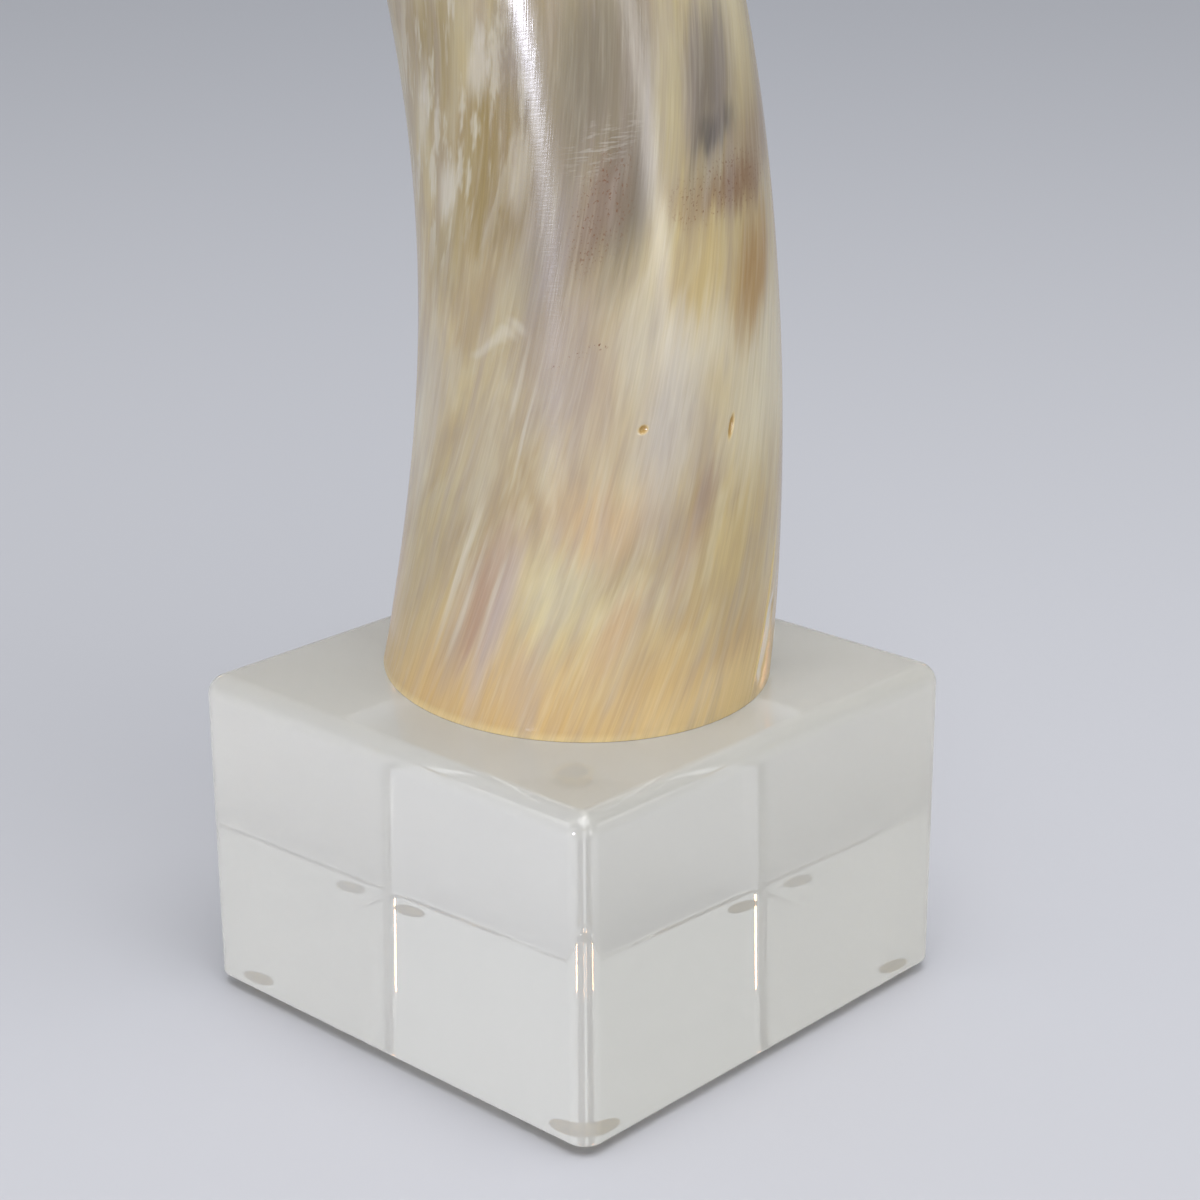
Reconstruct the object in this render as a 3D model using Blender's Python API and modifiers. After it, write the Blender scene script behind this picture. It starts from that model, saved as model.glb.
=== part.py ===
"""A polished longhorn steer horn standing on a clear acrylic block with clear bumper feet.

Run with: blender --background --python part.py
Metres, +Z up. The origin is on the table under the middle of the block, where the middle foot
touches it, and the block's sides lie along X and Y.
"""
import math

import bmesh
import bpy
from mathutils import Matrix, Vector

MM = 0.001
GAP = 0.3 * MM                        # clearance between pieces that touch

# The feet, clear bumpers flattened a little by the weight
FOOT_RADIUS = 6.0 * MM
FOOT_CONTACT_RADIUS = 3.9 * MM
FOOT_HEIGHT = 2.5 * MM
FOOT_INSET = 13.0 * MM                # from the block's side to a corner foot's centre

# The block, 6 by 6 by 3 3/4 inches
BLOCK_SIDE = 152.4 * MM
BLOCK_HEIGHT = 95.25 * MM
BLOCK_UNDERSIDE = FOOT_HEIGHT + GAP
EDGE_RADIUS = 6.35 * MM               # top and upright edges
BOTTOM_EDGE_RADIUS = 1.5 * MM

# The horn, in a frame of its own: X is the way it first leans back from, Y its depth
HORN_TURN = math.radians(43.3)        # the horn leans across the block's diagonal
HORN_FOOT = (0.6 * MM, 7.0 * MM)      # middle of the foot in the horn's own frame
SECTION_TURN = math.radians(15.0)     # the oval's short axis from the horn's X
SQUARE_FOOT_LENGTH = 60.0 * MM        # over this length the sections turn from level to square
TIP_RADIUS = 6.0 * MM
RING_SPACING = 12.0 * MM
RING_POINTS = 36
TIP_RINGS = 4

# Along the horn: distance (mm), lean to -X (deg), lean to +Y (deg), half width (mm), depth over width
HORN_STATIONS = (
    (0, -9.0, 0.3, 55.4, 1.15),
    (40, -5.1, 0.5, 52.9, 1.15),
    (80, -1.2, 0.8, 50.8, 1.14),
    (130, 3.7, 1.5, 48.7, 1.13),
    (210, 13.0, 3.5, 46.2, 1.12),
    (300, 21.5, 7.5, 42.6, 1.11),
    (400, 29.5, 12.5, 37.6, 1.10),
    (480, 32.5, 16.5, 33.6, 1.09),
    (560, 31.0, 18.0, 28.6, 1.08),
    (640, 24.0, 16.0, 22.4, 1.06),
    (710, 13.0, 10.0, 15.2, 1.04),
    (780, 0.0, 2.0, 6.0, 1.00),
)
DISTANCE, LEAN_SIDE, LEAN_DEPTH, HALF_WIDTH, OVALITY = range(5)


def clear_scene():
    for item in list(bpy.data.objects):
        bpy.data.objects.remove(item, do_unlink=True)


def make_collection(name):
    collection = bpy.data.collections.new(name)
    bpy.context.scene.collection.children.link(collection)
    return collection


def make_material(name, colour, roughness, alpha=1.0):
    material = bpy.data.materials.new(name)
    material.use_nodes = True
    shader = material.node_tree.nodes["Principled BSDF"]
    shader.inputs["Base Color"].default_value = (*colour, 1.0)
    shader.inputs["Roughness"].default_value = roughness
    shader.inputs["Metallic"].default_value = 0.0
    shader.inputs["Alpha"].default_value = alpha
    return material


def add_object(name, mesh, material, collection):
    item = bpy.data.objects.new(name, mesh)
    item.data.materials.append(material)
    collection.objects.link(item)
    return item


def mesh_from_bmesh(name, shape):
    bmesh.ops.recalc_face_normals(shape, faces=shape.faces)
    mesh = bpy.data.meshes.new(name)
    shape.to_mesh(mesh)
    shape.free()
    mesh.shade_smooth()
    mesh.set_sharp_from_angle(angle=math.radians(40))
    return mesh


def bevel_edges(shape, wanted, radius, segments):
    """Round the edges that wanted(edge) picks."""
    edges = [edge for edge in shape.edges if wanted(edge)]
    bmesh.ops.bevel(shape, geom=edges, offset=radius, segments=segments, profile=0.5, affect="EDGES")


def add_block(collection):
    """One solid square block, its upright edges rounded first and then its top and bottom rims."""
    shape = bmesh.new()
    bmesh.ops.create_cube(shape, size=1.0)
    bmesh.ops.scale(shape, vec=(BLOCK_SIDE, BLOCK_SIDE, BLOCK_HEIGHT), verts=shape.verts)
    bmesh.ops.translate(shape, vec=(0, 0, BLOCK_UNDERSIDE + BLOCK_HEIGHT / 2), verts=shape.verts)

    def upright(edge):
        return abs(edge.verts[0].co.z - edge.verts[1].co.z) > BLOCK_HEIGHT / 2

    def rim_at(height):
        return lambda edge: all(abs(vert.co.z - height) < GAP for vert in edge.verts)

    bevel_edges(shape, upright, EDGE_RADIUS, 8)
    bevel_edges(shape, rim_at(BLOCK_UNDERSIDE + BLOCK_HEIGHT), EDGE_RADIUS, 6)
    bevel_edges(shape, rim_at(BLOCK_UNDERSIDE), BOTTOM_EDGE_RADIUS, 3)
    material = make_material("clear acrylic", (0.88, 0.88, 0.84), 0.05, alpha=0.35)
    return add_object("acrylic_block", mesh_from_bmesh("acrylic_block", shape), material, collection)


def foot_mesh():
    """A bumper's profile from its flat top down its domed side to its flat contact, turned about Z."""
    profile = bmesh.new()
    dome_steps = 5
    outline = [(0.0, FOOT_HEIGHT)]
    for step in range(dome_steps + 1):
        angle = math.radians(90) * step / dome_steps
        radius = FOOT_CONTACT_RADIUS + (FOOT_RADIUS - FOOT_CONTACT_RADIUS) * math.cos(angle)
        outline.append((radius, FOOT_HEIGHT * (1 - math.sin(angle))))
    outline.append((0.0, 0.0))
    points = [profile.verts.new((x, 0.0, z)) for x, z in outline]
    for first, second in zip(points, points[1:]):
        profile.edges.new((first, second))
    mesh = bpy.data.meshes.new("foot")
    profile.to_mesh(mesh)
    profile.free()
    return mesh


def add_feet(collection):
    """Five bumpers that share one profile, one under each corner of the block and one in the middle."""
    mesh = foot_mesh()
    material = make_material("clear rubber", (0.80, 0.79, 0.72), 0.3, alpha=0.5)
    reach = BLOCK_SIDE / 2 - FOOT_INSET
    places = {
        "foot_front_left": (-reach, -reach),
        "foot_front_right": (reach, -reach),
        "foot_back_right": (reach, reach),
        "foot_back_left": (-reach, reach),
        "foot_middle": (0.0, 0.0),
    }
    mesh.materials.append(material)
    for name, (x, y) in places.items():
        foot = bpy.data.objects.new(name, mesh)
        foot.location = (x, y, 0.0)
        collection.objects.link(foot)
        screw = foot.modifiers.new("turn", "SCREW")
        screw.steps = screw.render_steps = 24
        screw.use_merge_vertices = True
        screw.merge_threshold = 0.00001
        screw.use_smooth_shade = True


def station_value(column, distance):
    """One column of HORN_STATIONS at a distance in mm, on a smooth curve through the stations."""
    rows = HORN_STATIONS
    here = max(i for i in range(len(rows) - 1) if rows[i][DISTANCE] <= distance or i == 0)
    there = here + 1

    def slope(i):
        low, high = max(i - 1, 0), min(i + 1, len(rows) - 1)
        return (rows[high][column] - rows[low][column]) / (rows[high][DISTANCE] - rows[low][DISTANCE])

    span = rows[there][DISTANCE] - rows[here][DISTANCE]
    t = (distance - rows[here][DISTANCE]) / span
    start, end = rows[here][column], rows[there][column]
    return (start * (2 * t**3 - 3 * t**2 + 1) + slope(here) * span * (t**3 - 2 * t**2 + t)
            + end * (3 * t**2 - 2 * t**3) + slope(there) * span * (t**3 - t**2))


def horn_direction(distance):
    side = math.radians(station_value(LEAN_SIDE, distance))
    depth = math.radians(station_value(LEAN_DEPTH, distance))
    return Vector((-math.sin(side) * math.cos(depth), math.sin(depth), math.cos(side) * math.cos(depth)))


def horn_line(count):
    """Evenly spaced (distance in mm, point) pairs along the horn's middle, stepped along its direction."""
    length = HORN_STATIONS[-1][DISTANCE]
    step = length / (count - 1)
    point = Vector((*HORN_FOOT, 0.0))
    line = [(0.0, point.copy())]
    for index in range(1, count):
        point += horn_direction((index - 0.5) * step) * step * MM
        line.append((index * step, point.copy()))
    return line


def section_axes(distance):
    """The oval's two axes: level at the foot, square to the horn's line further up."""
    along = horn_direction(distance)
    t = min(distance * MM / SQUARE_FOOT_LENGTH, 1.0)
    normal = Vector((0, 0, 1)).lerp(along, t * t * (3 - 2 * t)).normalized()
    side = (Vector((1, 0, 0)) - normal * normal.x).normalized()
    depth = normal.cross(side)
    turn = Matrix.Rotation(SECTION_TURN, 3, normal)
    return turn @ side, turn @ depth, along


def horn_rings():
    """The horn's sections from foot to tip, the last few closing its rounded tip."""
    count = round(HORN_STATIONS[-1][DISTANCE] * MM / RING_SPACING) + 1
    line = horn_line(count)
    sections = [(point, distance, 1.0) for distance, point in line]
    end_distance, end_point = line[-1]
    for ring in range(1, TIP_RINGS):
        angle = math.radians(90) * ring / TIP_RINGS
        centre = end_point + horn_direction(end_distance) * TIP_RADIUS * math.sin(angle)
        sections.append((centre, end_distance, math.cos(angle)))
    tip = end_point + horn_direction(end_distance) * TIP_RADIUS

    rings = []
    for centre, distance, scale in sections:
        side, depth, _ = section_axes(distance)
        half_width = station_value(HALF_WIDTH, distance) * MM * scale
        half_depth = half_width * station_value(OVALITY, distance)
        ring = []
        for index in range(RING_POINTS):
            angle = 2 * math.pi * index / RING_POINTS
            ring.append(centre + side * half_width * math.cos(angle) + depth * half_depth * math.sin(angle))
        rings.append(ring)
    return rings, tip


def add_horn(collection):
    """The horn as a loft of ovals: flat at its foot, curving over and back up to a rounded tip."""
    rings, tip = horn_rings()
    shape = bmesh.new()
    loops = [[shape.verts.new(point) for point in ring] for ring in rings]
    for lower, upper in zip(loops, loops[1:]):
        for index in range(RING_POINTS):
            after = (index + 1) % RING_POINTS
            shape.faces.new((lower[index], lower[after], upper[after], upper[index]))
    tip_vert = shape.verts.new(tip)
    for index in range(RING_POINTS):
        shape.faces.new((loops[-1][index], loops[-1][(index + 1) % RING_POINTS], tip_vert))
    shape.faces.new(reversed(loops[0]))
    material = make_material("polished horn", (0.62, 0.52, 0.36), 0.25)
    horn = add_object("horn", mesh_from_bmesh("horn", shape), material, collection)
    horn.location = (0.0, 0.0, BLOCK_UNDERSIDE + BLOCK_HEIGHT + GAP)
    horn.rotation_euler = (0.0, 0.0, HORN_TURN)
    return horn


clear_scene()
parts = make_collection("horn on acrylic block")
add_block(parts)
add_feet(parts)
add_horn(parts)
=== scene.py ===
"""The looks of a polished longhorn steer horn standing on a clear acrylic block."""
import math

import bmesh
import bpy
import numpy as np
from mathutils import Euler, Matrix, Vector


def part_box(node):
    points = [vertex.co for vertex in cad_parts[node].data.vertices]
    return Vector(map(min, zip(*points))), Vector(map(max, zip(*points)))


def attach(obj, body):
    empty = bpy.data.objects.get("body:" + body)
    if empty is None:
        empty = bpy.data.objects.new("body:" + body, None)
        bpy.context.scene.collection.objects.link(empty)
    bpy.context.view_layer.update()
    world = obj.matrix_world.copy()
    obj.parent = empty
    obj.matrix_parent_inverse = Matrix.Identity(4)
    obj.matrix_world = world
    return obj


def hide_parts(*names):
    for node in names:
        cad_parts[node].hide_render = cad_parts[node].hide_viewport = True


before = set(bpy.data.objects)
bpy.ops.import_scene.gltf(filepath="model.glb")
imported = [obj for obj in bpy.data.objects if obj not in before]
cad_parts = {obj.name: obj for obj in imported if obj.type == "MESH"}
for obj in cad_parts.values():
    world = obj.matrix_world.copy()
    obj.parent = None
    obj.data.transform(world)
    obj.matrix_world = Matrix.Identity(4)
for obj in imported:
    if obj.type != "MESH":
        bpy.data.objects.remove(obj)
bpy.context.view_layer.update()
MM = 0.001


# The bumper feet: five clear self-adhesive polyurethane domes, one near each corner of the block
# and one under its middle. They are cast in one mould, a little yellowed, and pressed flat where
# they stand. The four corner ones have wetted the acrylic, so that they show up through it.
FOOT_STEPS = 48
PRESSED_IN = 0.02 * MM                # a wetted foot's top is just inside the block's underside
CONTACT_SHARE = 0.65                  # of the radius, where a foot is pressed flat on the table

foot_low, foot_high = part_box("foot_middle")
block_low, block_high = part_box("acrylic_block")
foot_radius = (foot_high.x - foot_low.x) / 2
foot_height = foot_high.z - foot_low.z
foot_contact_radius = CONTACT_SHARE * foot_radius


def linear(hex_colour):
    """An sRGB hex colour as linear red, green, blue and alpha."""
    parts = [int(hex_colour[i:i + 2], 16) / 255 for i in (1, 3, 5)]
    return (*[c / 12.92 if c <= 0.04045 else ((c + 0.055) / 1.055) ** 2.4 for c in parts], 1.0)


def add_node(tree, kind, inputs=(), **settings):
    """A new node with its settings, and its inputs set to values or joined to sockets."""
    node = tree.nodes.new(kind)
    for name, value in settings.items():
        setattr(node, name, value)
    for key, value in dict(inputs).items():
        if isinstance(value, bpy.types.NodeSocket):
            tree.links.new(value, node.inputs[key])
        else:
            node.inputs[key].default_value = value
    return node


def new_material(name):
    """An empty node material, its tree and the node that its shader is joined to."""
    material = bpy.data.materials.new(name)
    material.use_nodes = True
    material.node_tree.nodes.clear()
    output = add_node(material.node_tree, "ShaderNodeOutputMaterial")
    return material, material.node_tree, output


def apply_modifiers(item):
    """The item with its modifiers turned into a plain mesh."""
    depsgraph = bpy.context.evaluated_depsgraph_get()
    mesh = bpy.data.meshes.new_from_object(item.evaluated_get(depsgraph))
    item.modifiers.clear()
    item.data = mesh
    return item


# Soft clear polyurethane with a satin mould skin and a faint yellow tint from age. The middle foot
# touches the block only here and there. Its flat contact patch is painted near-black: painted shade
bumper_rubber, tree, output = new_material("cast polyurethane")
place = add_node(tree, "ShaderNodeTexCoord").outputs["Object"]
mould_grain = add_node(tree, "ShaderNodeTexNoise", {
    "Vector": place, "Scale": 1 / (0.8 * MM), "Detail": 2.0})
yellowing = add_node(tree, "ShaderNodeMix", {
    0: mould_grain.outputs["Fac"], 6: linear("#BFA869"), 7: linear("#CEBA7E")}, data_type="RGBA")
skin = add_node(tree, "ShaderNodeBump", {
    "Strength": 0.1, "Distance": 0.05 * MM, "Height": mould_grain.outputs["Fac"]})
from_middle = add_node(tree, "ShaderNodeAttribute", attribute_name="from_middle").outputs["Fac"]
painted_shade_foot = add_node(tree, "ShaderNodeAttribute", attribute_name="painted_shade_foot").outputs["Fac"]
# Painted shade: the middle foot's flat contact patch is darkened to near-black grey, for the unlit table
# seen through it
contact = add_node(tree, "ShaderNodeMapRange", {
    "Value": from_middle, "From Min": 0.74, "From Max": 0.62}, interpolation_type="SMOOTHSTEP")
painted_shade = add_node(tree, "ShaderNodeMath", {0: contact.outputs[0], 1: painted_shade_foot}, operation="MULTIPLY")
rubber_with_painted_shade = add_node(tree, "ShaderNodeMix", {
    0: painted_shade.outputs[0], 6: yellowing.outputs[2], 7: linear("#35332F")}, data_type="RGBA")
rubber = add_node(tree, "ShaderNodeBsdfPrincipled", {
    "Base Color": rubber_with_painted_shade.outputs[2], "Roughness": 0.35, "IOR": 1.49,
    "Transmission Weight": 0.35, "Normal": skin.outputs["Normal"]})
tree.links.new(rubber.outputs["BSDF"], output.inputs["Surface"])

# One dome, a drum whose side is drawn in to the contact, stands on each point. It keeps how far
# each point was from its axis, for the material
domes = bpy.data.node_groups.new("bumper feet", "GeometryNodeTree")
for name, kind in (("Places", "NodeSocketGeometry"), ("Radius", "NodeSocketFloat"),
                   ("Contact Radius", "NodeSocketFloat"), ("Height", "NodeSocketFloat"),
                   ("Steps", "NodeSocketInt"), ("Material", "NodeSocketMaterial")):
    domes.interface.new_socket(name, in_out="INPUT", socket_type=kind)
domes.interface.new_socket("Feet", in_out="OUTPUT", socket_type="NodeSocketGeometry")
sizes = add_node(domes, "NodeGroupInput").outputs
drum = add_node(domes, "GeometryNodeMeshCylinder", {
    "Vertices": sizes["Steps"], "Side Segments": 10, "Radius": 1.0, "Depth": 1.0},
    fill_type="TRIANGLE_FAN")
at = add_node(domes, "ShaderNodeSeparateXYZ", {0: add_node(domes, "GeometryNodeInputPosition").outputs[0]})
up = add_node(domes, "ShaderNodeMath", {0: at.outputs["Z"], 1: 0.5}, operation="ADD")
fallen = add_node(domes, "ShaderNodeMath", {0: 1.0, 1: up.outputs[0]}, operation="SUBTRACT")
squared = add_node(domes, "ShaderNodeMath", {0: fallen.outputs[0], 1: 2.0}, operation="POWER")
rest = add_node(domes, "ShaderNodeMath", {0: 1.0, 1: squared.outputs[0]}, operation="SUBTRACT")
bulge = add_node(domes, "ShaderNodeMath", {0: rest.outputs[0]}, operation="SQRT")
reach = add_node(domes, "ShaderNodeMix", {
    0: bulge.outputs[0], 2: sizes["Contact Radius"], 3: sizes["Radius"]})
x = add_node(domes, "ShaderNodeMath", {0: at.outputs["X"], 1: reach.outputs[0]}, operation="MULTIPLY")
y = add_node(domes, "ShaderNodeMath", {0: at.outputs["Y"], 1: reach.outputs[0]}, operation="MULTIPLY")
z = add_node(domes, "ShaderNodeMath", {0: up.outputs[0], 1: sizes["Height"]}, operation="MULTIPLY")
moved = add_node(domes, "ShaderNodeCombineXYZ", {0: x.outputs[0], 1: y.outputs[0], 2: z.outputs[0]})
level = add_node(domes, "ShaderNodeCombineXYZ", {0: at.outputs["X"], 1: at.outputs["Y"]})
off_axis = add_node(domes, "ShaderNodeVectorMath", {0: level.outputs[0]}, operation="LENGTH")
measured = add_node(domes, "GeometryNodeStoreNamedAttribute", {
    "Geometry": drum.outputs["Mesh"], "Name": "from_middle", "Value": off_axis.outputs["Value"]})
dome = add_node(domes, "GeometryNodeSetPosition", {
    "Geometry": measured.outputs[0], "Position": moved.outputs[0]})
stretch = add_node(domes, "GeometryNodeInputNamedAttribute", {"Name": "stretch"}, data_type="FLOAT_VECTOR")
standing = add_node(domes, "GeometryNodeInstanceOnPoints", {
    "Points": sizes["Places"], "Instance": dome.outputs[0], "Scale": stretch.outputs[0]})
real = add_node(domes, "GeometryNodeRealizeInstances", {"Geometry": standing.outputs[0]})
made = add_node(domes, "GeometryNodeSetMaterial", {
    "Geometry": real.outputs[0], "Material": sizes["Material"]})
domes.links.new(made.outputs[0], add_node(domes, "NodeGroupOutput").inputs[0])

corner_feet = ("foot_front_left", "foot_front_right", "foot_back_right", "foot_back_left")
wetted = (block_low.z + PRESSED_IN - foot_low.z) / foot_height
places = [(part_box(name)[0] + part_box(name)[1]) / 2 for name in (*corner_feet, "foot_middle")]
points = bpy.data.meshes.new("bumper_feet")
points.from_pydata([(p.x, p.y, foot_low.z) for p in places], [], [])
# Each attribute is filled before the next one is added, because adding one moves the data
stretches = points.attributes.new("stretch", "FLOAT_VECTOR", "POINT")
for index in range(len(places)):
    stretches.data[index].vector = (1, 1, wetted if index < len(corner_feet) else 1)
# Only the middle foot is flagged for the painted shade on its contact patch
painted_shade_flags = points.attributes.new("painted_shade_foot", "FLOAT", "POINT")
for index in range(len(places)):
    painted_shade_flags.data[index].value = 0.0 if index < len(corner_feet) else 1.0
bumper_feet = bpy.data.objects.new("bumper_feet", points)
bpy.context.scene.collection.objects.link(bumper_feet)
casting = bumper_feet.modifiers.new("casting", "NODES")
casting.node_group = domes
for socket in domes.interface.items_tree:
    if socket.in_out == "INPUT" and socket.name != "Places":
        casting[socket.identifier] = {
            "Radius": foot_radius, "Contact Radius": foot_contact_radius, "Height": foot_height,
            "Steps": FOOT_STEPS, "Material": bumper_rubber}[socket.name]
apply_modifiers(bumper_feet)
bumper_feet.data.shade_smooth()
bumper_feet.data.set_sharp_from_angle(angle=math.radians(40))
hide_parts(*corner_feet, "foot_middle")
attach(bumper_feet, "root")


# The block: one piece of clear cast acrylic sawn from thick plate, with rounded top and upright
# edges that were routed and flame polished, and a small bevel round its underside. It is a little
# warm in colour where the light has a long way through it.
EDGE_RADIUS = 6.35 * MM
BOTTOM_EDGE_RADIUS = 1.5 * MM
EDGE_STEPS = 20
BOTTOM_EDGE_STEPS = 6
UNDERSIDE_SKIN = 0.3 * MM             # how far up the clearer underside reaches
SIDE_CLEARNESS, TOP_CLEARNESS = 0.645, 0.68
UNDERSIDE_EXTRA = 0.3                 # added to the sides' clearness there
block_size = block_high - block_low

shape = bmesh.new()
bmesh.ops.create_cube(shape, size=1.0)
bmesh.ops.scale(shape, vec=block_size, verts=shape.verts)
bmesh.ops.translate(shape, vec=(block_low + block_high) / 2, verts=shape.verts)
for radius, steps, height in ((EDGE_RADIUS, EDGE_STEPS, None),
                              (EDGE_RADIUS, EDGE_STEPS, block_high.z),
                              (BOTTOM_EDGE_RADIUS, BOTTOM_EDGE_STEPS, block_low.z)):
    if height is None:
        edges = [e for e in shape.edges if abs(e.verts[0].co.z - e.verts[1].co.z) > block_size.z / 2]
    else:
        edges = [e for e in shape.edges if all(abs(v.co.z - height) < 0.01 * MM for v in e.verts)]
    bmesh.ops.bevel(shape, geom=edges, offset=radius, segments=steps, profile=0.5, affect="EDGES")
bmesh.ops.recalc_face_normals(shape, faces=shape.faces)
block_mesh = bpy.data.meshes.new("clear_block")
shape.to_mesh(block_mesh)
shape.free()
block_mesh.shade_smooth()
clear_block = bpy.data.objects.new("clear_block", block_mesh)
bpy.context.scene.collection.objects.link(clear_block)
# Normals follow the larger faces, so that the flats stay flat right up to their roundings
flats = clear_block.modifiers.new("flats", "WEIGHTED_NORMAL")
flats.mode = "FACE_AREA"
flats.weight = 100
apply_modifiers(clear_block)

# Cast PMMA, clear, flame polished at its edges: a sharp reflection, a warm tint in its depth, and
# the slight milkiness of an old block, which is a share of plain white at its surface
acrylic, tree, output = new_material("clear cast acrylic")
place = add_node(tree, "ShaderNodeTexCoord").outputs["Object"]
up = add_node(tree, "ShaderNodeSeparateXYZ", {0: place}).outputs["Z"]
sides_and_top = add_node(tree, "ShaderNodeMapRange", {
    "Value": up, "From Min": block_high.z - EDGE_RADIUS, "From Max": block_high.z,
    "To Min": SIDE_CLEARNESS, "To Max": TOP_CLEARNESS})
underside = add_node(tree, "ShaderNodeMapRange", {
    "Value": up, "From Min": block_low.z + UNDERSIDE_SKIN, "From Max": block_low.z,
    "To Min": 0.0, "To Max": UNDERSIDE_EXTRA})
clearness = add_node(tree, "ShaderNodeMath", {
    0: sides_and_top.outputs[0], 1: underside.outputs[0]}, operation="ADD")
glass = add_node(tree, "ShaderNodeBsdfPrincipled", {
    "Base Color": linear("#FDFBF3"), "Roughness": 0.0, "IOR": 1.49,
    "Transmission Weight": clearness.outputs[0]})
depth_tint = add_node(tree, "ShaderNodeVolumeAbsorption", {
    "Color": linear("#D6D2A0"), "Density": 0.3})
tree.links.new(glass.outputs["BSDF"], output.inputs["Surface"])
tree.links.new(depth_tint.outputs["Volume"], output.inputs["Volume"])
clear_block.data.materials.clear()
clear_block.data.materials.append(acrylic)
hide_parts("acrylic_block")
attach(clear_block, "root")


# The horn: the sheath of a longhorn steer's horn, sawn level at its thick end, sanded along its
# length and polished by hand to a satin. Its fibres wind slowly round it as they grew. It is
# cemented to the block, its bend in line with the block's diagonal, which is X in its own frame.
HORN_TURN = math.radians(43.3)        # from the block's X to the horn's
HORN_FOOT = (0.6, 7.0)                # mm, middle of the foot in the horn's own frame
SECTION_TURN = math.radians(15.0)     # the oval's short axis from the horn's X
SQUARE_FOOT_LENGTH = 60.0             # mm, over which the sections turn from level to square
TIP_RADIUS = 6.0                      # mm
FIBRE_TWIST = 0.27                    # degrees round the horn for each mm along it
FOOT_ROUNDING = 0.3                   # mm, the sanded edge of the sawn end
SEATED_OVER = 20.0                    # mm, the stretch that is drawn down to touch the block
SEAT_GAP = 0.02                       # mm, what is left between the foot and the block
SHAPE_STEP = 1.0                      # mm, for following the horn's line
FINE_END = 215.0                      # mm, the stretch with the finer mesh
FINE_STEP, COARSE_STEP = 1.6, 3.4     # mm
FIBRE_STEP = 1.8                      # degrees between the mesh's lines of fibre
FIRST_RING = 3.0                      # mm from the foot, and the foot face's inner ring from its edge
CAP_ANGLES = (22, 44, 64, 80)         # degrees, the rings of the rounded tip
ROUNDING_ANGLES = (0, 30, 60, 90)     # degrees, the rings of the sanded edge

# Along the horn: distance (mm), lean to -X (deg), lean to +Y (deg), half width (mm), depth over width
HORN_STATIONS = np.array((
    (0, -9.0, 0.3, 55.4, 1.15), (40, -5.1, 0.5, 52.9, 1.15), (80, -1.2, 0.8, 50.8, 1.14),
    (130, 3.7, 1.5, 48.7, 1.13), (210, 13.0, 3.5, 46.2, 1.12), (300, 21.5, 7.5, 42.6, 1.11),
    (400, 29.5, 12.5, 37.6, 1.10), (480, 32.5, 16.5, 33.6, 1.09), (560, 31.0, 18.0, 28.6, 1.08),
    (640, 24.0, 16.0, 22.4, 1.06), (710, 13.0, 10.0, 15.2, 1.04), (780, 0.0, 2.0, 6.0, 1.00)))
HORN_LENGTH = HORN_STATIONS[-1, 0]


def along_horn(column, distance):
    """A column of HORN_STATIONS at some distances, on a smooth curve through the stations."""
    known, values = HORN_STATIONS[:, 0], HORN_STATIONS[:, column]
    last = len(known) - 1
    low, high = np.maximum(np.arange(last + 1) - 1, 0), np.minimum(np.arange(last + 1) + 1, last)
    slopes = (values[high] - values[low]) / (known[high] - known[low])
    here = np.clip(np.searchsorted(known, distance, side="right") - 1, 0, last - 1)
    span = known[here + 1] - known[here]
    t = (distance - known[here]) / span
    return (values[here] * (2 * t**3 - 3 * t**2 + 1) + slopes[here] * span * (t**3 - 2 * t**2 + t)
            + values[here + 1] * (3 * t**2 - 2 * t**3) + slopes[here + 1] * span * (t**3 - t**2))


def smooth(t):
    t = np.clip(t, 0, 1)
    return t * t * (3 - 2 * t)


def horn_axis(distance):
    """The horn's direction at some distances."""
    side, depth = np.radians(along_horn(1, distance)), np.radians(along_horn(2, distance))
    return np.stack([-np.sin(side) * np.cos(depth), np.sin(depth), np.cos(side) * np.cos(depth)], -1)


steps = np.arange(0, HORN_LENGTH, SHAPE_STEP)
walked = np.cumsum(horn_axis(steps + SHAPE_STEP / 2) * SHAPE_STEP, axis=0)
horn_middle = np.vstack([[*HORN_FOOT, 0.0], [*HORN_FOOT, 0.0] + walked])
middle_distance = np.append(steps, HORN_LENGTH)

# Marks that have a shape: two worm holes, and a long flake lifted off beside a split
PITS = (                              # fibre (deg), distance (mm), half width, half length, depth (mm)
    (-116.8, 84.5, 1.1, 1.1, 0.7),
    (-86.0, 82.5, 0.8, 2.8, 0.6),
)
SPLIT_FIBRE = -48.0                   # degrees
SPLIT_REACH = (4.0, 50.0)             # mm along the horn
SPLIT_WIDTH, SPLIT_DEPTH = 0.7, 0.5   # mm
FLAKE_FIBRE = -43.5                   # degrees, the middle of the lost flake
FLAKE_WIDTH, FLAKE_DEPTH = 5.0, 0.45  # mm
FLAKE_REACH = (5.0, 31.0)             # mm along the horn


def relief(fibre, distance, half_width):
    """How far in the surface stands at a fibre (deg) and distance (mm), for the pits and the flake.

    Each has soft sides, and the split and the flake run out over a few mm at their ends.
    """
    sunk = np.zeros(np.broadcast(fibre, distance).shape)
    for pit_fibre, pit_distance, pit_width, pit_length, depth in PITS:
        across = np.radians(fibre - pit_fibre) * half_width / pit_width
        far = np.hypot(across, (distance - pit_distance) / pit_length)
        sunk += depth * (1 - smooth((far - 0.35) / 0.9))
    across = np.radians(fibre - SPLIT_FIBRE) * half_width
    ends = smooth((distance - SPLIT_REACH[0]) / 4) * smooth((SPLIT_REACH[1] - distance) / 12)
    sunk += SPLIT_DEPTH * ends * (1 - smooth(np.abs(across) / SPLIT_WIDTH))
    across = np.radians(fibre - FLAKE_FIBRE) * half_width
    ends = smooth((distance - FLAKE_REACH[0]) / 3) * smooth((FLAKE_REACH[1] - distance) / 6)
    sunk += FLAKE_DEPTH * ends * (1 - smooth((np.abs(across) - FLAKE_WIDTH / 2 + 0.4) / 0.8))
    return sunk


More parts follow.
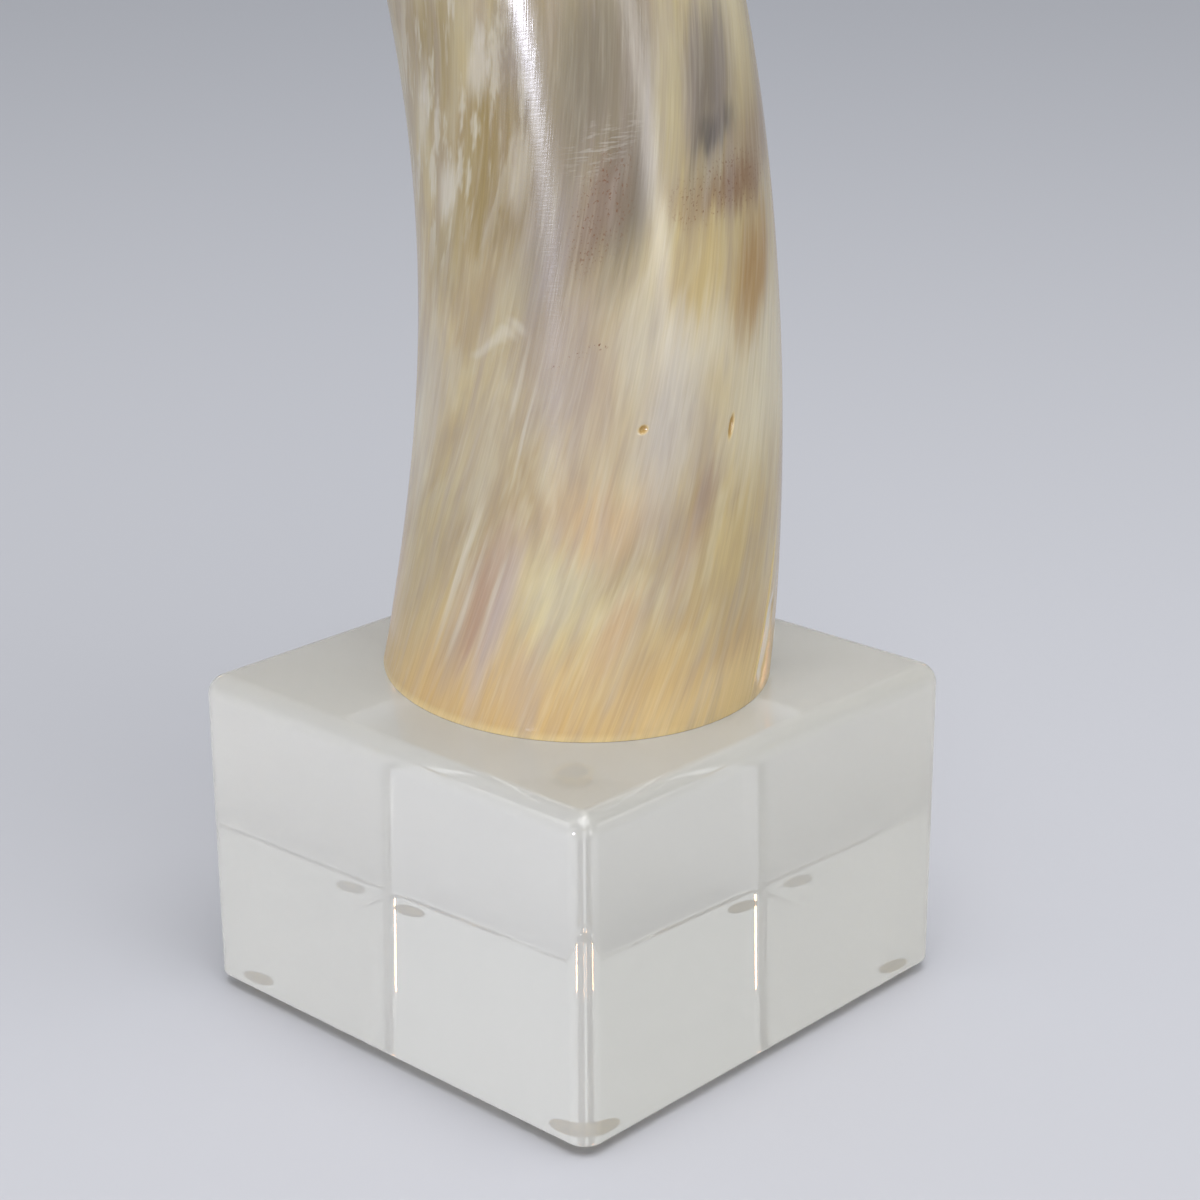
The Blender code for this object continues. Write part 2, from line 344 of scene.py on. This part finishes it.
def with_fine_spans(values, spans):
    """Sorted values with finer ones where a (start, end, step) span asks for them."""
    for start, end, step in spans:
        values = np.concatenate([values[(values < start) | (values > end)], np.arange(start, end, step)])
    return np.sort(values)


# The mesh is finer at the two worm holes and across the split and the flake
fibres = with_fine_spans(np.arange(-180, 180, FIBRE_STEP), [
    (-120.3, -113.3, 0.5), (-89.0, -83.0, 0.5), (-49.5, -39.5, 0.45)])
distances = np.concatenate([np.arange(FIRST_RING, FINE_END, FINE_STEP),
                            np.arange(FINE_END, HORN_LENGTH, COARSE_STEP), [HORN_LENGTH]])
distances = with_fine_spans(distances, [(79.0, 88.0, 0.5)])
round_in = FOOT_ROUNDING * (1 - np.sin(np.radians(ROUNDING_ANGLES)))
rounding = FOOT_ROUNDING * (1 - np.cos(np.radians(ROUNDING_ANGLES)))
cap_angles = np.radians(CAP_ANGLES)
ring_distance = np.concatenate([[0.0], rounding, distances, np.full(len(cap_angles), HORN_LENGTH)])
ring_inset = np.concatenate([[FOOT_ROUNDING + FIRST_RING], round_in,
                             np.zeros(len(distances) + len(cap_angles))])
ring_scale = np.concatenate([np.ones(1 + len(rounding) + len(distances)), np.cos(cap_angles)])
ring_lift = np.concatenate([np.zeros(1 + len(rounding) + len(distances)), TIP_RADIUS * np.sin(cap_angles)])

axis = horn_axis(ring_distance)
middle = np.stack([np.interp(ring_distance, middle_distance, horn_middle[:, i]) for i in range(3)], -1)
middle += axis * ring_lift[:, None]
squared_off = smooth(ring_distance / SQUARE_FOOT_LENGTH)[:, None]
normal = np.array([0, 0, 1]) * (1 - squared_off) + axis * squared_off
normal /= np.linalg.norm(normal, axis=1, keepdims=True)
side = np.array([1, 0, 0]) - normal * normal[:, :1]
side /= np.linalg.norm(side, axis=1, keepdims=True)
deep = np.cross(normal, side)
turned_side = side * math.cos(SECTION_TURN) + deep * math.sin(SECTION_TURN)
turned_deep = deep * math.cos(SECTION_TURN) - side * math.sin(SECTION_TURN)

half_width = along_horn(3, ring_distance) * ring_scale
ovality = along_horn(4, ring_distance)
angle = np.radians(fibres[None, :] + FIBRE_TWIST * ring_distance[:, None])
sunk = relief(fibres[None, :], ring_distance[:, None], half_width[:, None]) + ring_inset[:, None]
out_side = (half_width[:, None] - sunk) * np.cos(angle)
out_deep = (half_width[:, None] * ovality[:, None] - sunk) * np.sin(angle)
horn_points = (middle[:, None] + turned_side[:, None] * out_side[..., None]
               + turned_deep[:, None] * out_deep[..., None]) * MM
rings, count = horn_points.shape[:2]
tip = (middle[-1] + axis[-1] * (TIP_RADIUS - ring_lift[-1])) * MM
base = horn_points[0].mean(axis=0)
horn_turn = np.array(Matrix.Rotation(HORN_TURN, 3, "Z"))
horn_stand = np.array([0.0, 0.0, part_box("horn")[0].z])
vertices = np.vstack([horn_points.reshape(-1, 3), tip, base]) @ horn_turn.T + horn_stand
# The foot is drawn down over the CAD's gap, so that it sits on the block
seat = horn_stand[2] - block_high.z - SEAT_GAP * MM
reached = np.concatenate([np.repeat(ring_distance, count), [HORN_LENGTH, 0.0]])
vertices[:, 2] -= seat * (1 - smooth(reached / SEATED_OVER))
faces = []
for ring in range(rings - 1):
    for column in range(count):
        after = (column + 1) % count
        faces.append((ring * count + column, ring * count + after,
                      (ring + 1) * count + after, (ring + 1) * count + column))
top_ring = (rings - 1) * count
for column in range(count):
    after = (column + 1) % count
    faces.append((top_ring + column, top_ring + after, rings * count))
    faces.append((after, column, rings * count + 1))
horn_mesh = bpy.data.meshes.new("polished_horn")
horn_mesh.from_pydata(vertices.tolist(), [], faces)
horn_mesh.shade_smooth()

# Each point's place on the horn as if it were straight and its fibres ran straight up it, in mm
FIBRE_RADIUS = 52.0                   # mm
fibre_angle = np.broadcast_to(np.radians(fibres), (rings, count))
shrink = np.concatenate([[0.9], np.ones(rings - 1)])[:, None] * FIBRE_RADIUS
straight = np.stack([shrink * np.cos(fibre_angle), shrink * np.sin(fibre_angle),
                     np.broadcast_to((ring_distance + ring_lift)[:, None], (rings, count))], -1)
straight = np.vstack([straight.reshape(-1, 3), [0, 0, HORN_LENGTH + TIP_RADIUS], [0, 0, 0]])
attribute = horn_mesh.attributes.new("fibre", "FLOAT_VECTOR", "POINT")
attribute.data.foreach_set("vector", straight.astype(np.float32).ravel())
polished_horn = bpy.data.objects.new("polished_horn", horn_mesh)
bpy.context.scene.collection.objects.link(polished_horn)

# Polished keratin: translucent cream and straw, streaked along its fibres with tan, mauve-brown
# and smoky grey, under a satin polish that shows the finest scratches of the sanding
keratin, tree, output = new_material("polished longhorn keratin")
fibre_place = add_node(tree, "ShaderNodeAttribute", attribute_name="fibre").outputs["Vector"]


def streaks(width, length, shift, detail=3.0, roughness=0.55, place=fibre_place):
    """Noise drawn out along the fibres, its grains about this wide and long in mm."""
    stretched = add_node(tree, "ShaderNodeMapping", {
        "Vector": place, "Location": (shift, -shift, shift * 2),
        "Scale": (1 / width, 1 / width, 1 / length)})
    return add_node(tree, "ShaderNodeTexNoise", {
        "Vector": stretched.outputs[0], "Scale": 1.0, "Detail": detail, "Roughness": roughness})


def between(value, low, high, to_low=0.0, to_high=1.0):
    """A value eased from to_low to to_high as it goes from low to high."""
    return add_node(tree, "ShaderNodeMapRange", {
        "Value": value, "From Min": low, "From Max": high, "To Min": to_low, "To Max": to_high},
        interpolation_type="SMOOTHSTEP").outputs[0]


def times(first, second):
    return add_node(tree, "ShaderNodeMath", {0: first, 1: second}, operation="MULTIPLY").outputs[0]


def stain_and_painted_light(colour, stain_and_light_colour, amount, blend="MIX"):
    """The colour with a stain, or a painted light or shade, laid over it, as strongly as the amount says.
    """
    return add_node(tree, "ShaderNodeMix", {0: amount, 6: colour, 7: stain_and_light_colour}, data_type="RGBA",
                    blend_type=blend).outputs[2]


def pushed(place, noise, reach):
    """The place moved to either side by a noise's colours, by half the reach (mm) at the most."""
    centred = add_node(tree, "ShaderNodeVectorMath", {
        0: noise.outputs["Color"], 1: (0.5, 0.5, 0.5)}, operation="SUBTRACT")
    return add_node(tree, "ShaderNodeVectorMath", {
        0: centred.outputs[0], 1: reach, 2: place}, operation="MULTIPLY_ADD").outputs[0]


# Fibres wander a little as they run, and every mark has soft sides and ragged ends
grown_place = pushed(fibre_place, streaks(24.0, 70.0, 5.0, detail=1.0), (10.0, 10.0, 24.0))
mark_place = pushed(grown_place, streaks(2.0, 26.0, 11.0, detail=3.0, roughness=0.6), (2.0, 2.0, 16.0))


def mark(angle, distance, half_width, half_length, softness=0.7, place=mark_place):
    """Where a mark lies: 1 in its middle and 0 outside, at an angle (deg) as seen on the horn."""
    fibre = math.radians(angle - FIBRE_TWIST * distance)
    centred = add_node(tree, "ShaderNodeMapping", {
        "Vector": place, "Rotation": (0, 0, fibre), "Scale": (FIBRE_RADIUS, half_width, half_length),
        "Location": (FIBRE_RADIUS * math.cos(fibre), FIBRE_RADIUS * math.sin(fibre), distance)},
        vector_type="TEXTURE")
    far = add_node(tree, "ShaderNodeVectorMath", {0: centred.outputs[0]}, operation="LENGTH")
    return between(far.outputs["Value"], 1 + softness / 2, 1 - softness / 2)


# The body of the horn: clouds of straw, tan and pale yellow, more golden towards the foot
clouds = streaks(15.0, 38.0, 3.0, detail=2.0, place=grown_place).outputs["Fac"]
colour = add_node(tree, "ShaderNodeMix", {
    0: between(clouds, 0.36, 0.64), 6: linear("#AF9A73"), 7: linear("#C6B281")},
    data_type="RGBA").outputs[2]
pale = streaks(12.0, 44.0, 17.0, detail=2.0, place=grown_place).outputs["Fac"]
colour = stain_and_painted_light(colour, linear("#CEC3A0"), times(between(pale, 0.5, 0.7), 0.6))
mottle = streaks(5.0, 24.0, 61.0, detail=2.0, place=grown_place).outputs["Fac"]
colour = stain_and_painted_light(colour, linear("#9C8A75"), times(between(mottle, 0.48, 0.68), 0.4))
colour = stain_and_painted_light(colour, linear("#D0C6A6"), times(between(mottle, 0.50, 0.32), 0.35))
along = add_node(tree, "ShaderNodeSeparateXYZ", {0: mark_place}).outputs["Z"]
# Partly painted light: lighter and more golden towards the foot, the horn's own golden base plus painted
# light bounced up from the block's top
colour = stain_and_painted_light(colour, linear("#CBA86C"), times(between(along, 48.0, 2.0), 0.85))
colour = stain_and_painted_light(colour, linear("#A0936F"), times(between(along, 100.0, 170.0), 0.45))

# The sanded edge of the sawn foot shows as a thin pale line
from_foot = add_node(tree, "ShaderNodeSeparateXYZ", {0: fibre_place}).outputs["Z"]
colour = stain_and_painted_light(colour, linear("#E6CD93"), times(between(from_foot, 3.0, 0.0), 0.7))

# Round the back and higher up, where nothing is known of it, run broad smoky and milky bands
smoke = streaks(13.0, 130.0, 91.0, detail=1.5, place=grown_place).outputs["Fac"]
elsewhere = add_node(tree, "ShaderNodeMath", {
    0: mark(72, 150, 76, 330, 0.5, place=fibre_place), 1: between(along, 190.0, 280.0)},
    operation="MAXIMUM").outputs[0]
colour = stain_and_painted_light(colour, linear("#8A7B68"), times(between(smoke, 0.50, 0.68), times(elsewhere, 0.6)))
colour = stain_and_painted_light(colour, linear("#5F564C"), times(between(smoke, 0.60, 0.76), times(elsewhere, 0.5)))
colour = stain_and_painted_light(colour, linear("#DCD5C2"), times(between(smoke, 0.48, 0.34), times(elsewhere, 0.5)))

# Marks as the horn shows them; most are its own colour, a few are painted light as noted. A row holds
# the angle (deg), the distance, half width and half length (mm), the softness, the stain or painted light
# and its strength
MARKS = (
    ("shade up the middle", -121, 138, 16, 75, 1.5, "#85796A", 0.45),
    ("pale left edge", -172, 82, 9, 24, 1.5, "#CFC8B4", 0.5),
    ("pale veil beside it", -143, 78, 8, 20, 1.5, "#C9BEA2", 0.35),
    # Partly painted light: the pale gold at the right foot is also painted light bounced up from the
    # block's top
    ("pale gold at the right foot", -60, 3, 24, 12, 1.4, "#E3C88F", 0.7),
    ("warm grey at the left", -128, 165, 9, 28, 1.4, "#7E7362", 0.75),
    ("mauve at the right of the shade", -110, 106, 12, 14, 1.5, "#A08F80", 0.45),
    ("tan left side", -166, 38, 11, 34, 1.4, "#AA986C", 0.6),
    ("mauve brown at the left foot", -137, 35, 8, 18, 1.3, "#B09683", 0.65),
    ("its brown streak", -142, 28, 2.4, 11, 1.2, "#A58269", 0.5),
    ("lilac beside it", -134, 26, 3.0, 22, 1.2, "#BDAFA8", 0.5),
    ("mauve at the foot", -124, 12, 6, 11, 1.4, "#B8A288", 0.45),
    ("pale yellow centre", -116, 41, 9, 15, 1.5, "#D0C495", 0.65),
    ("peach above it", -105, 64, 10, 11, 1.5, "#C6A47A", 0.6),
    ("pink brown low centre", -98, 32, 4, 10, 1.4, "#B8936F", 0.5),
    ("golden olive at the right", -54, 46, 15, 21, 1.4, "#C2A970", 0.6),
    ("grey lilac smudge", -90, 66, 5, 13, 1.4, "#AEA092", 0.5),
    ("brown sliver", -73, 68, 2.8, 10, 1.4, "#987B62", 0.65),
    ("its lower run", -80, 50, 3.4, 11, 1.4, "#A98C74", 0.5),
    ("cool veil", -84, 88, 9, 18, 1.4, "#C6C1B8", 0.65),
    ("pale right side", -46, 92, 18, 20, 1.4, "#DDD4B8", 0.75),
    ("lilac centre", -108, 88, 10, 13, 1.5, "#AB9C8F", 0.55),
    ("mauve zone", -118, 101, 9, 19, 1.4, "#A09285", 0.6),
    ("grey mauve above it", -120, 135, 10, 20, 1.4, "#857A6E", 0.65),
    ("golden light", -71, 121, 9, 13, 1.4, "#CBB47B", 0.5),
    ("pale veil right of the shade", -75, 106, 17, 9, 1.5, "#D8D0BA", 0.5),
    ("amber", -51, 119, 8, 13, 1.4, "#9F7733", 0.8),
    # Partly painted highlight: the cream band is a pale streak of the horn and also carries the second
    # highlight's streak on down
    ("cream band", -90, 118, 4.5, 20, 1.4, "#C6BFAC", 0.45),
    ("brown at the left", -161, 127, 8, 14, 1.4, "#9F8F69", 0.55),
    ("olive wing", -139, 150, 10, 20, 1.2, "#957F48", 0.75),
    ("olive above it", -154, 188, 10, 14, 1.3, "#93804F", 0.7),
    ("grey-brown top", -101, 178, 10, 22, 1.3, "#766D5D", 0.8),
    ("dark grey below it", -97, 144, 8, 22, 1.3, "#6B6155", 0.85),
    ("taupe patch", -105, 140, 6, 14, 1.2, "#86705E", 0.65),
    # Painted light: the grey beside the highlight is painted shade that narrows the right softbox's
    # highlight, and the lilac band is a painted highlight tone on its streak
    ("grey beside the highlight", -87, 179, 6, 22, 1.4, "#7E7262", 0.8),
    ("lilac highlight band", -87, 158, 3.0, 22, 1.3, "#A09890", 0.5),
    ("yellow cream streak", -78, 167, 4.5, 19, 1.3, "#BFB389", 0.6),
    ("straw at the top right", -56, 193, 9, 9, 1.4, "#D2C08E", 0.6),
    ("tan above the haze", -44, 178, 15, 14, 1.5, "#C9BB94", 0.6),
    ("brown haze", -38, 148, 14, 9, 1.5, "#8F7860", 0.65),
    ("cream right edge", -50, 188, 12, 12, 1.5, "#D2C6A2", 0.6),
    ("left end of the belt", -73, 142, 8, 5, 1.4, "#9A8262", 0.5),
    ("brown belt", -55, 141, 10, 5.5, 1.4, "#7B5636", 0.75),
    ("smoky patch", -61, 165, 10, 17, 1.6, "#766B5F", 0.8),
    ("its left column", -67, 168, 3.6, 15, 1.5, "#675F58", 0.6),
    ("its right column", -57, 168, 3.6, 14, 1.5, "#69625C", 0.6),
    ("its dark heart", -60, 157, 7, 4, 1.6, "#4A4644", 0.8),
)
for name, mark_angle, mark_distance, mark_width, mark_length, softness, stain_and_light_colour, strength in MARKS:
    where = mark(mark_angle, mark_distance, mark_width, mark_length, softness)
    colour = stain_and_painted_light(colour, linear(stain_and_light_colour), times(where, strength))

# Cream flecks with torn ends, in the olive at the left and here and there higher up
flecks = streaks(4.4, 22.0, 29.0, detail=3.0, roughness=0.6, place=grown_place).outputs["Fac"]
fleck_zone = mark(-155, 168, 26, 42, 0.9)
colour = stain_and_painted_light(colour, linear("#CBC3AD"), times(between(flecks, 0.49, 0.62), times(fleck_zone, 0.7)))
upper_flecks = times(between(flecks, 0.56, 0.70), between(along, 190.0, 300.0))
colour = stain_and_painted_light(colour, linear("#CFC8B4"), times(upper_flecks, 0.6))
FLECKS = (                            # angle, distance, half width, half length, strength
    (-155, 147, 3.4, 8, 0.75), (-138, 173, 3.0, 7, 0.6), (-130, 150, 2.6, 10, 0.4),
    (-164, 170, 3.0, 12, 0.5), (-150, 38, 1.2, 20, 0.5), (-146, 30, 0.8, 16, 0.4),
    (-136, 34, 0.7, 12, 0.4), (-129, 82, 0.6, 15, 0.4), (-131, 95, 0.8, 10, 0.4),
)
for fleck_angle, fleck_distance, fleck_width, fleck_length, strength in FLECKS:
    where = mark(fleck_angle, fleck_distance, fleck_width, fleck_length, 1.3)
    colour = stain_and_painted_light(colour, linear("#D3CCB9"), times(where, strength))
# A pale arc, a piece of an old growth line
GROWTH_ARC = ((-145, 104.0), (-141, 105.5), (-137, 107.5), (-133, 110.0))      # angle, distance
for arc_angle, arc_distance in GROWTH_ARC:
    where = mark(arc_angle, arc_distance, 3.2, 1.3, 1.5, place=grown_place)
    colour = stain_and_painted_light(colour, linear("#D3CCB9"), times(where, 0.4))

# Lilac-grey and cream streaks a few mm wide run through all of it
lilac_zone = streaks(12.0, 50.0, 37.0, detail=1.0, place=grown_place).outputs["Fac"]
lilac = streaks(4.2, 34.0, 23.0, detail=3.0, place=grown_place).outputs["Fac"]
colour = stain_and_painted_light(colour, linear("#A3968C"), times(
    between(lilac, 0.36, 0.70), between(lilac_zone, 0.42, 0.62, 0.05, 0.4)))
cream = streaks(1.6, 26.0, 31.0, detail=3.0, place=grown_place).outputs["Fac"]
colour = stain_and_painted_light(colour, linear("#D8CFB9"), times(between(cream, 0.44, 0.76), 0.16))
brown = streaks(2.0, 22.0, 43.0, detail=3.0, place=grown_place).outputs["Fac"]
colour = stain_and_painted_light(colour, linear("#93806C"), times(between(brown, 0.48, 0.78), 0.16))

# Brown specks like ground pepper, in belts across the fibres and on one old growth line
pepper = add_node(tree, "ShaderNodeTexNoise", {"Vector": fibre_place, "Scale": 1 / 0.8, "Detail": 2.0})
specks = between(pepper.outputs["Fac"], 0.58, 0.70)
PEPPERED = (                          # angle, distance, half width, half length, strength
    (-60, 142, 18, 7, 0.7), (-104, 141, 7, 15, 0.75),
    (-118, 101.5, 3.0, 0.9, 1.0), (-112, 103.5, 3.0, 0.9, 1.0), (-106, 106, 3.0, 0.9, 1.0),
)
for belt_angle, belt_distance, belt_width, belt_length, strength in PEPPERED:
    where = mark(belt_angle, belt_distance, belt_width, belt_length, 1.0, place=grown_place)
    colour = stain_and_painted_light(colour, linear("#74492F"), times(specks, times(where, strength)))

# Fine pale scratches across the fibres, where the horn was sanded once more
cross = streaks(5.0, 0.6, 81.0, detail=2.0).outputs["Fac"]
cross = times(between(cross, 0.50, 0.66), mark(-102, 158, 8, 5, 1.5))
colour = stain_and_painted_light(colour, linear("#BDB8AB"), times(cross, 0.38))

# Towards the tip the horn darkens to smoky brown and then to near black, streak by streak
colour = stain_and_painted_light(colour, linear("#6B5844"), times(between(along, 540.0, 700.0), 0.85))
colour = stain_and_painted_light(colour, linear("#2E2721"), times(between(along, 660.0, 775.0), 0.9))

# The fibres themselves, under 0.1 mm wide, are drawn as 0.5 mm lines, as coarse as they need to show
fibre_lines = streaks(0.5, 26.0, 41.0, detail=2.0, roughness=0.6).outputs["Fac"]
colour = stain_and_painted_light(colour, add_node(tree, "ShaderNodeMix", {
    0: between(fibre_lines, 0.3, 0.7), 6: linear("#E0DEDC"), 7: linear("#F6F6F6")},
    data_type="RGBA").outputs[2], 0.45, blend="MULTIPLY")

# The split and the worm holes show the golden brown inside the horn
for pit_fibre, pit_distance, pit_width, pit_length, _ in PITS:
    where = mark(pit_fibre + FIBRE_TWIST * pit_distance, pit_distance, pit_width, pit_length, 0.7,
                 place=fibre_place)
    rim = mark(pit_fibre + FIBRE_TWIST * pit_distance, pit_distance, pit_width * 1.3, pit_length * 1.2, 0.6,
               place=fibre_place)
    colour = stain_and_painted_light(colour, linear("#DCC489"), times(rim, 0.6))
    colour = stain_and_painted_light(colour, linear("#A6803C"), times(where, 0.85))
split_middle = (SPLIT_REACH[0] + SPLIT_REACH[1]) / 2
split = mark(SPLIT_FIBRE + FIBRE_TWIST * split_middle, split_middle, 0.5,
             (SPLIT_REACH[1] - SPLIT_REACH[0]) / 2, 0.9, place=fibre_place)
colour = stain_and_painted_light(colour, linear("#7A5A30"), times(split, 0.8))
# The lost flake has left a pale patch, and the lip at its far side is golden
flake_middle = (FLAKE_REACH[0] + FLAKE_REACH[1]) / 2
flake = mark(FLAKE_FIBRE + FIBRE_TWIST * flake_middle, flake_middle, FLAKE_WIDTH / 2,
             (FLAKE_REACH[1] - FLAKE_REACH[0]) / 2, 0.4, place=fibre_place)
colour = stain_and_painted_light(colour, linear("#DAD4C6"), times(flake, 0.8))
lip = mark(-40.5, 27, 1.3, 24, 1.0, place=fibre_place)
colour = stain_and_painted_light(colour, linear("#DCC68C"), times(lip, 0.7))

# The polish is uneven along the finest scratches. Fibres, scratches and faint ripples across them
# stand out by a few hundredths of a mm
scratches = streaks(0.35, 9.0, 51.0, detail=2.0, roughness=0.6).outputs["Fac"]
polish = between(scratches, 0.2, 0.8, 0.155, 0.225)
ripples = streaks(4.0, 0.5, 71.0, detail=1.0).outputs["Fac"]
height = add_node(tree, "ShaderNodeMath", {0: fibre_lines, 1: scratches}, operation="ADD").outputs[0]
height = add_node(tree, "ShaderNodeMath", {0: height, 1: times(ripples, 0.5)}, operation="ADD").outputs[0]
sanding = add_node(tree, "ShaderNodeBump", {"Strength": 0.25, "Distance": 0.06 * MM, "Height": height})
horn_shader = add_node(tree, "ShaderNodeBsdfPrincipled", {
    "Base Color": colour, "Roughness": polish, "IOR": 1.54, "Normal": sanding.outputs["Normal"],
    "Subsurface Weight": 0.12, "Subsurface Radius": (1.0, 0.7, 0.4), "Subsurface Scale": 3.0 * MM})
tree.links.new(horn_shader.outputs["BSDF"], output.inputs["Surface"])
polished_horn.data.materials.append(keratin)
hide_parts("horn")
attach(polished_horn, "root")


# The table: a wide sheet of white board with a hard satin lacquer
FLOOR_SIDE = 50.0                     # m
FLOOR_GAP = 0.1 * MM                  # under the feet
bpy.ops.mesh.primitive_plane_add(size=FLOOR_SIDE, location=(0, 0, -FLOOR_GAP))
table = bpy.context.object
table.name = "table"
lacquer, tree, output = new_material("white satin lacquer")
place = add_node(tree, "ShaderNodeTexCoord").outputs["Object"]
rolled = add_node(tree, "ShaderNodeTexNoise", {"Vector": place, "Scale": 1 / (2.5 * MM), "Detail": 3.0})
skin = add_node(tree, "ShaderNodeBump", {
    "Strength": 0.05, "Distance": 0.05 * MM, "Height": rolled.outputs["Fac"]})
board = add_node(tree, "ShaderNodeBsdfPrincipled", {
    "Base Color": linear("#C6C6CB"), "Roughness": 0.45, "Specular IOR Level": 0.35,
    "Normal": skin.outputs["Normal"]})
tree.links.new(board.outputs["BSDF"], output.inputs["Surface"])
table.data.materials.append(lacquer)

# The camera stands about 0.8 m from the block's middle and looks down on one of its upright edges
CAMERA_PLACE = (0.5021, -0.5217, 0.3779)
CAMERA_PITCH, CAMERA_TURN, CAMERA_ROLL = 19.697, 43.29, -0.343
camera = bpy.data.objects.new("camera", bpy.data.cameras.new("camera"))
camera.data.sensor_width = 36
camera.data.lens = 80.83
aim = Euler((math.radians(90 - CAMERA_PITCH), 0, math.radians(CAMERA_TURN))).to_matrix().to_4x4()
camera.matrix_world = Matrix.Translation(CAMERA_PLACE) @ aim @ Matrix.Rotation(
    math.radians(CAMERA_ROLL), 4, "Z")
bpy.context.scene.collection.objects.link(camera)
bpy.context.scene.camera = camera

# Soft studio light: a pale room, a narrow lamp at the camera's left, a wide softbox at its right, a
# large one overhead, and two small warm lamps behind, which show as glints in the block's edges.
# The low ones light the object alone, so that they leave no bright patches on the table
LIGHT_TARGET = Vector((0, 0, 0.25))
lit_pieces = bpy.data.collections.new("lit by the low lamps")
for piece in (bumper_feet, clear_block, polished_horn):
    lit_pieces.objects.link(piece)
SOFTBOXES = (             # degrees from the camera, height and distance (m), width, length, watts, colour
    ("left lamp", -37, 0.29, 1.5, 0.05, 0.22, 10, "#E9ECFF"),
    ("right softbox", 38, 0.40, 1.6, 0.30, 0.6, 3.0, "#FFFFFF"),
    ("overhead softbox", 15, 2.0, 0.65, 1.6, 1.6, 33, "#FFFFFF"),
    ("warm lamp behind at the left", -148, 0.77, 1.6, 0.15, 0.12, 0.9, "#FFB880"),
    ("warm lamp behind at the right", 148, 0.77, 1.6, 0.15, 0.12, 0.9, "#FFB880"),
)
for name, turn, height, distance, width, length, power, tint in SOFTBOXES:
    light = bpy.data.lights.new(name, "AREA")
    light.shape = "RECTANGLE"
    light.size, light.size_y, light.energy = width, length, power
    light.color = linear(tint)[:3]
    lamp = bpy.data.objects.new(name, light)
    if name != "overhead softbox":
        lamp.light_linking.receiver_collection = lit_pieces
    bearing = math.radians(CAMERA_TURN - 90 + turn)
    lamp.location = (distance * math.cos(bearing), distance * math.sin(bearing), height)
    lamp.rotation_euler = (LIGHT_TARGET - lamp.location).to_track_quat("-Z", "Y").to_euler()
    bpy.context.scene.collection.objects.link(lamp)
room = bpy.data.worlds.new("pale room")
room.use_nodes = True
background = room.node_tree.nodes["Background"]
background.inputs["Color"].default_value = linear("#E4E8EE")
background.inputs["Strength"].default_value = 0.67
bpy.context.scene.world = room
bpy.context.scene.view_settings.view_transform = "Standard"
